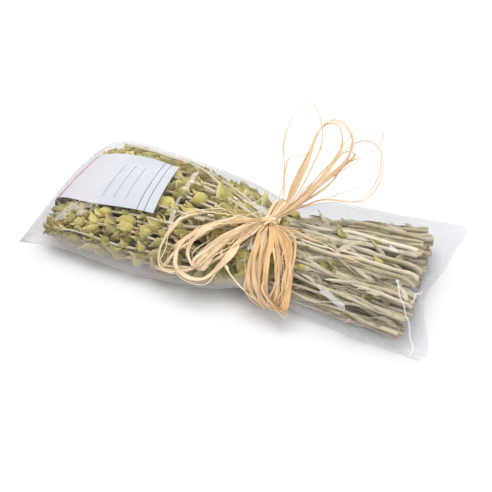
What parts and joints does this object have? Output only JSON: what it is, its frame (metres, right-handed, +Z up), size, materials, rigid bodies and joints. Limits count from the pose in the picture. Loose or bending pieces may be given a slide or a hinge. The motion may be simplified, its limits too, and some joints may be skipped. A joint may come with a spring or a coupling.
{
  "type": "dried mountain tea bunch",
  "caption": "Bunch of dried mountain tea sprigs laid in a clear film bag, with a folded paper label over the tips and a raffia bow tied round the waist.",
  "frame": {"origin": "on the surface that the bag lies on, under the middle of the whole object's box", "axes": "+X along the bunch from the flower tips to the cut stalk ends, +Y across it to the side away from the hanging loops, +Z up"},
  "size_m": [0.326, 0.166, 0.1235],
  "materials": {
    "film": "clear thin film with soft creases",
    "card": "matt coated paper",
    "bract": "dry, softly hairy",
    "stalk": "dry, woolly",
    "raffia": "dry fibrous leaf strip with a soft sheen"
  },
  "bodies": {
    "root": {"bag_film": "film", "label_card": "card", "raffia_band": "raffia", "raffia_bow": "raffia", "sprig_01_spike": "bract", "sprig_01_stalk": "stalk", "sprig_02_spike": "bract", "sprig_02_stalk": "stalk", "sprig_03_spike": "bract", "sprig_03_stalk": "stalk", "sprig_04_spike": "bract", "sprig_04_stalk": "stalk", "sprig_05_spike": "bract", "sprig_05_stalk": "stalk", "sprig_06_spike": "bract", "sprig_06_stalk": "stalk", "sprig_07_spike": "bract", "sprig_07_stalk": "stalk", "sprig_08_spike": "bract", "sprig_08_stalk": "stalk", "sprig_09_spike": "bract", "sprig_09_stalk": "stalk", "sprig_10_spike": "bract", "sprig_10_stalk": "stalk", "sprig_11_spike": "bract", "sprig_11_stalk": "stalk", "sprig_12_spike": "bract", "sprig_12_stalk": "stalk", "sprig_13_spike": "bract", "sprig_13_stalk": "stalk", "sprig_14_spike": "bract", "sprig_14_stalk": "stalk", "sprig_15_spike": "bract", "sprig_15_stalk": "stalk", "sprig_16_spike": "bract", "sprig_16_stalk": "stalk", "sprig_17_spike": "bract", "sprig_17_stalk": "stalk", "sprig_18_spike": "bract", "sprig_18_stalk": "stalk", "sprig_19_spike": "bract", "sprig_19_stalk": "stalk", "sprig_20_spike": "bract", "sprig_20_stalk": "stalk", "sprig_21_spike": "bract", "sprig_21_stalk": "stalk", "sprig_22_spike": "bract", "sprig_22_stalk": "stalk", "sprig_23_spike": "bract", "sprig_23_stalk": "stalk", "sprig_24_spike": "bract", "sprig_24_stalk": "stalk", "loose_bract_1": "bract", "loose_bract_2": "bract", "loose_bract_3": "bract"}
  },
  "joints": []
}
